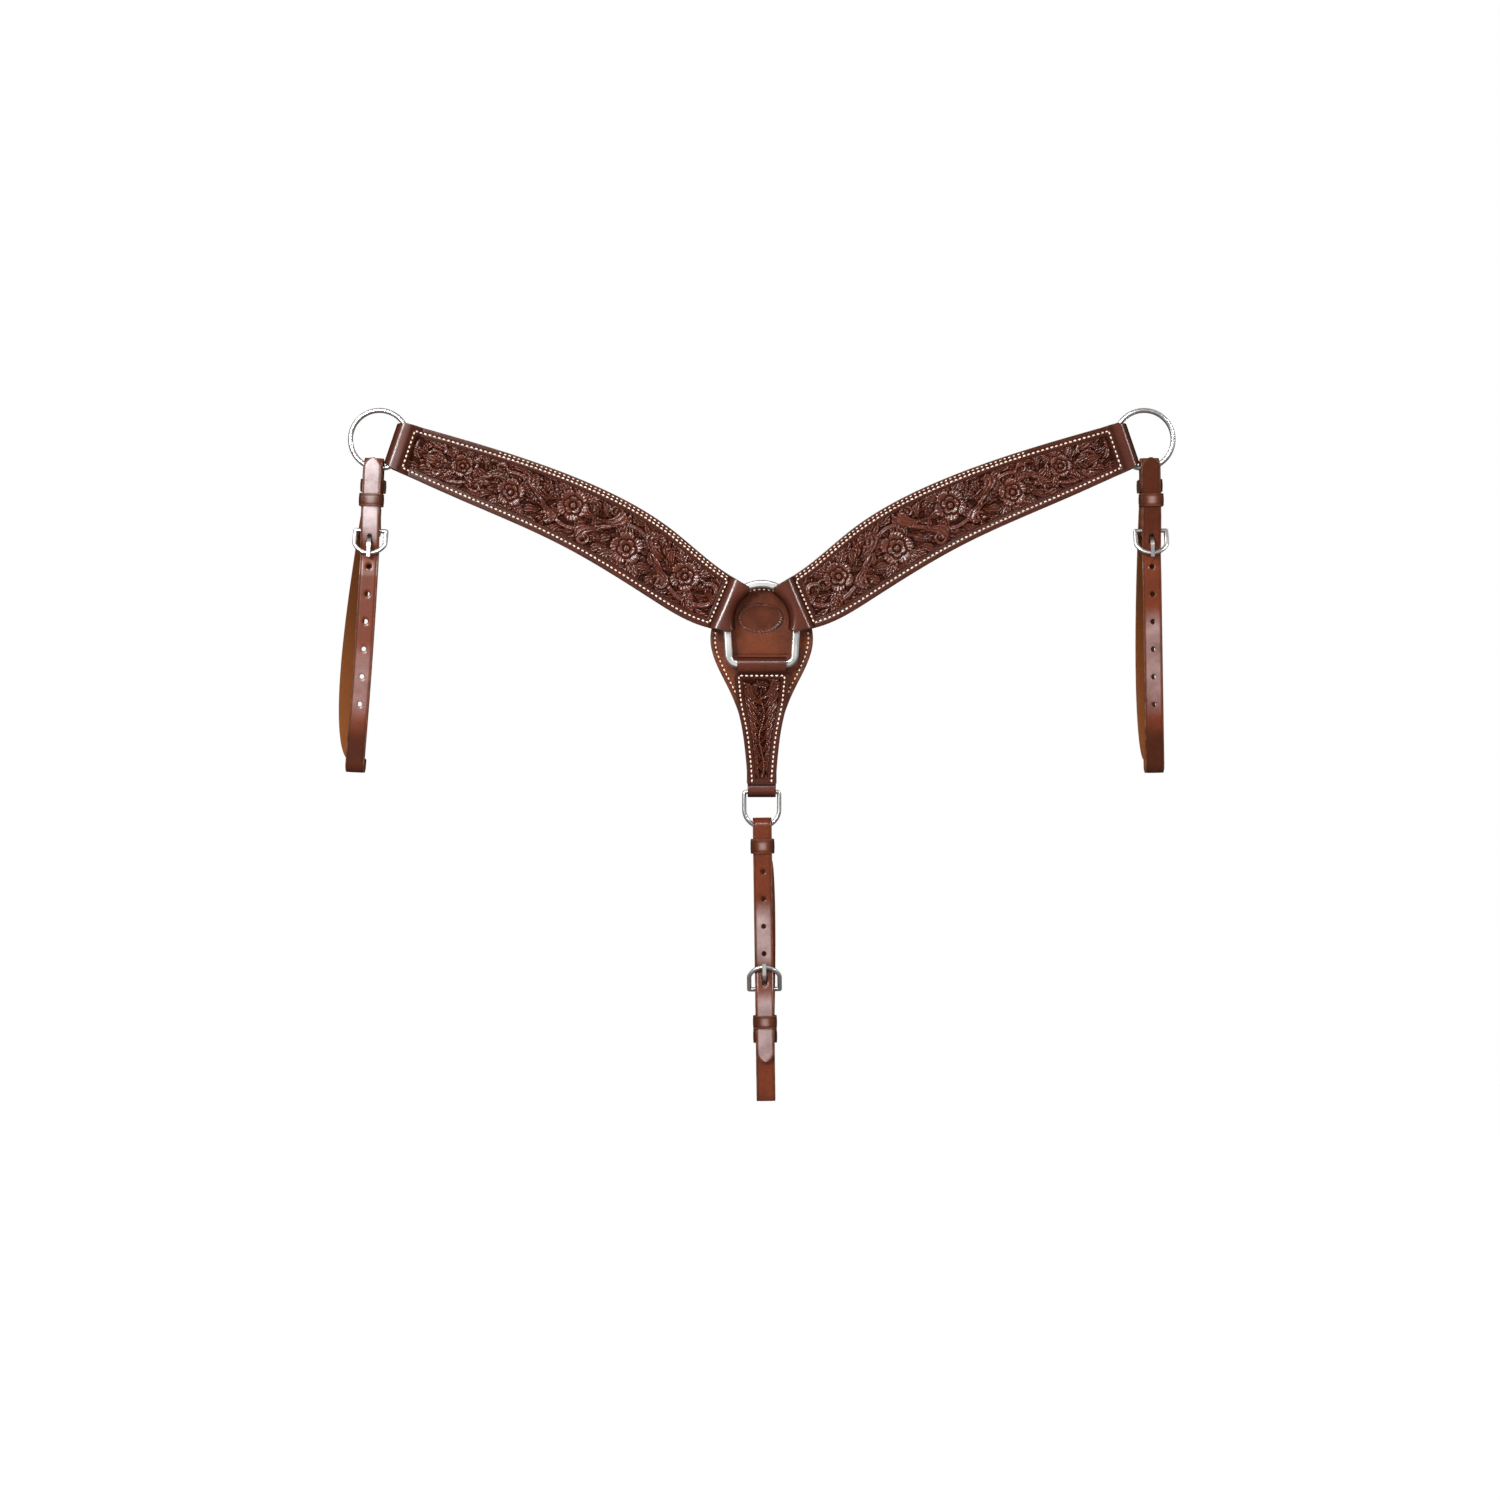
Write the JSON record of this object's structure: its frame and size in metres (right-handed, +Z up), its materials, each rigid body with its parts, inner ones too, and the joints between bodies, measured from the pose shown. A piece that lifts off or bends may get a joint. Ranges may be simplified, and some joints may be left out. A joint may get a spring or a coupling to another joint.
{
  "type": "western breast collar",
  "caption": "Tooled leather breast collar for a ridden horse: two wings on a centre ring, a tapered drop with a girth strap, and buckled tug straps on side rings.",
  "frame": {"origin": "centre of the centre ring's round top, in the ring's mid-plane", "axes": "+X along the wings to the viewer's right, +Y towards the horse, +Z up as worn"},
  "size_m": [0.8276, 0.0402, 0.6946],
  "materials": {
    "tooled_leather": "floral tooling, antiqued and waxed",
    "plain_leather": "smooth, oiled",
    "lining_leather": "smooth, matt",
    "strap_leather": "smooth, glossy",
    "keeper_leather": "smooth, creased edges",
    "nickel": "polished nickel plate"
  },
  "bodies": {
    "centre_ring": {"centre_ring": "nickel"},
    "left_wing": {"left_wing_front": "tooled_leather", "left_wing_lining": "lining_leather"},
    "right_wing": {"right_wing_front": "tooled_leather", "right_wing_lining": "lining_leather"},
    "drop": {"shield_front": "plain_leather", "shield_lining": "lining_leather", "drop_panel": "tooled_leather"},
    "drop_dee": {"drop_dee": "nickel"},
    "girth_strap": {"girth_strap": "strap_leather"},
    "left_side_ring": {"left_side_ring": "nickel"},
    "left_tug": {"left_tug_strap": "strap_leather"},
    "right_side_ring": {"right_side_ring": "nickel"},
    "right_tug": {"right_tug_strap": "strap_leather"},
    "left_buckle_frame": {"left_buckle_frame": "nickel"},
    "left_buckle_tongue": {"left_buckle_tongue": "nickel"},
    "left_keeper_front": {"left_keeper_front": "keeper_leather"},
    "left_keeper_back": {"left_keeper_back": "keeper_leather"},
    "right_buckle_frame": {"right_buckle_frame": "nickel"},
    "right_buckle_tongue": {"right_buckle_tongue": "nickel"},
    "right_keeper_front": {"right_keeper_front": "keeper_leather"},
    "right_keeper_back": {"right_keeper_back": "keeper_leather"},
    "girth_buckle_frame": {"girth_buckle_frame": "nickel"},
    "girth_buckle_tongue": {"girth_buckle_tongue": "nickel"},
    "girth_keeper_front": {"girth_keeper_front": "keeper_leather"},
    "girth_keeper_back": {"girth_keeper_back": "keeper_leather"},
    "girth_keeper_top": {"girth_keeper_top": "keeper_leather"}
  },
  "joints": [
    {"name": "right_wing_swing", "type": "hinge", "parent": "centre_ring", "child": "right_wing", "pos_m": [0.02577, 0, 0.01094], "axis": [-0.3907, 0, 0.9205], "range_deg": [-15, 15]},
    {"name": "left_wing_swing", "type": "hinge", "parent": "centre_ring", "child": "left_wing", "pos_m": [-0.02577, 0, 0.01094], "axis": [-0.3907, 0, -0.9205], "range_deg": [-15, 15]},
    {"name": "drop_swing", "type": "hinge", "parent": "centre_ring", "child": "drop", "pos_m": [0, 0, -0.045], "axis": [-1, 0, 0], "range_deg": [0, 25]},
    {"name": "drop_dee_swing", "type": "hinge", "parent": "drop", "child": "drop_dee", "pos_m": [0, 0.0122, -0.173], "axis": [-1, 0, 0], "range_deg": [-45, 45]},
    {"name": "girth_strap_swing", "type": "hinge", "parent": "drop_dee", "child": "girth_strap", "pos_m": [0.0005, 0.0122, -0.20725], "axis": [-1, 0, 0], "range_deg": [-60, 60]},
    {"name": "right_side_ring_swing", "type": "hinge", "parent": "right_wing", "child": "right_side_ring", "pos_m": [0.36147, 0, 0.17241], "axis": [0.3223, 0, -0.9466], "range_deg": [-15, 15]},
    {"name": "left_side_ring_swing", "type": "hinge", "parent": "left_wing", "child": "left_side_ring", "pos_m": [-0.36147, 0, 0.17241], "axis": [0.3223, 0, 0.9466], "range_deg": [-15, 15]},
    {"name": "left_tug_swing", "type": "hinge", "parent": "left_side_ring", "child": "left_tug", "pos_m": [-0.3875, 0, 0.1525], "axis": [-1, 0, 0], "range_deg": [-75, 75]},
    {"name": "right_tug_swing", "type": "hinge", "parent": "right_side_ring", "child": "right_tug", "pos_m": [0.3875, 0, 0.1525], "axis": [-1, 0, 0], "range_deg": [-75, 75]},
    {"name": "left_buckle_frame_tilt", "type": "hinge", "parent": "left_tug", "child": "left_buckle_frame", "pos_m": [-0.39043, -0.0026, 0.08807], "axis": [-0.999, 0, 0.0454], "range_deg": [-1.5, 1.5]},
    {"name": "left_buckle_tongue_lift", "type": "hinge", "parent": "left_buckle_frame", "child": "left_buckle_tongue", "pos_m": [-0.39043, -0.0026, 0.08807], "axis": [-0.999, 0, 0.0454], "range_deg": [0, 5]},
    {"name": "left_keeper_front_slide", "type": "slide", "parent": "left_tug", "child": "left_keeper_front", "axis": [0.0454, 0, 0.999], "range_m": [-0.0012, 0.0008]},
    {"name": "left_keeper_back_slide", "type": "slide", "parent": "left_tug", "child": "left_keeper_back", "axis": [0.0454, 0, 0.999], "range_m": [-0.0008, 0.003]},
    {"name": "right_buckle_frame_tilt", "type": "hinge", "parent": "right_tug", "child": "right_buckle_frame", "pos_m": [0.38851, -0.0026, 0.08801], "axis": [-0.9999, 0, -0.0157], "range_deg": [-1.5, 1.5]},
    {"name": "right_buckle_tongue_lift", "type": "hinge", "parent": "right_buckle_frame", "child": "right_buckle_tongue", "pos_m": [0.38851, -0.0026, 0.08801], "axis": [-0.9999, 0, -0.0157], "range_deg": [0, 5]},
    {"name": "right_keeper_front_slide", "type": "slide", "parent": "right_tug", "child": "right_keeper_front", "axis": [-0.0157, 0, 0.9999], "range_m": [-0.0012, 0.0008]},
    {"name": "right_keeper_back_slide", "type": "slide", "parent": "right_tug", "child": "right_keeper_back", "axis": [-0.0157, 0, 0.9999], "range_m": [-0.0008, 0.003]},
    {"name": "girth_buckle_frame_tilt", "type": "hinge", "parent": "girth_strap", "child": "girth_buckle_frame", "pos_m": [0.00279, 0.0096, -0.37103], "axis": [0.9999, 0, 0.014], "range_deg": [-1.5, 1.5]},
    {"name": "girth_buckle_tongue_lift", "type": "hinge", "parent": "girth_buckle_frame", "child": "girth_buckle_tongue", "pos_m": [0.00279, 0.0096, -0.37103], "axis": [0.9999, 0, 0.014], "range_deg": [0, 5]},
    {"name": "girth_keeper_front_slide", "type": "slide", "parent": "girth_strap", "child": "girth_keeper_front", "axis": [0.014, 0, -0.9999], "range_m": [-0.003, 0.0008]},
    {"name": "girth_keeper_back_slide", "type": "slide", "parent": "girth_strap", "child": "girth_keeper_back", "axis": [0.014, 0, -0.9999], "range_m": [-0.0008, 0.03]},
    {"name": "girth_keeper_top_slide", "type": "slide", "parent": "girth_strap", "child": "girth_keeper_top", "axis": [-0.014, 0, 0.9999], "range_m": [-0.006, 0.006]}
  ]
}
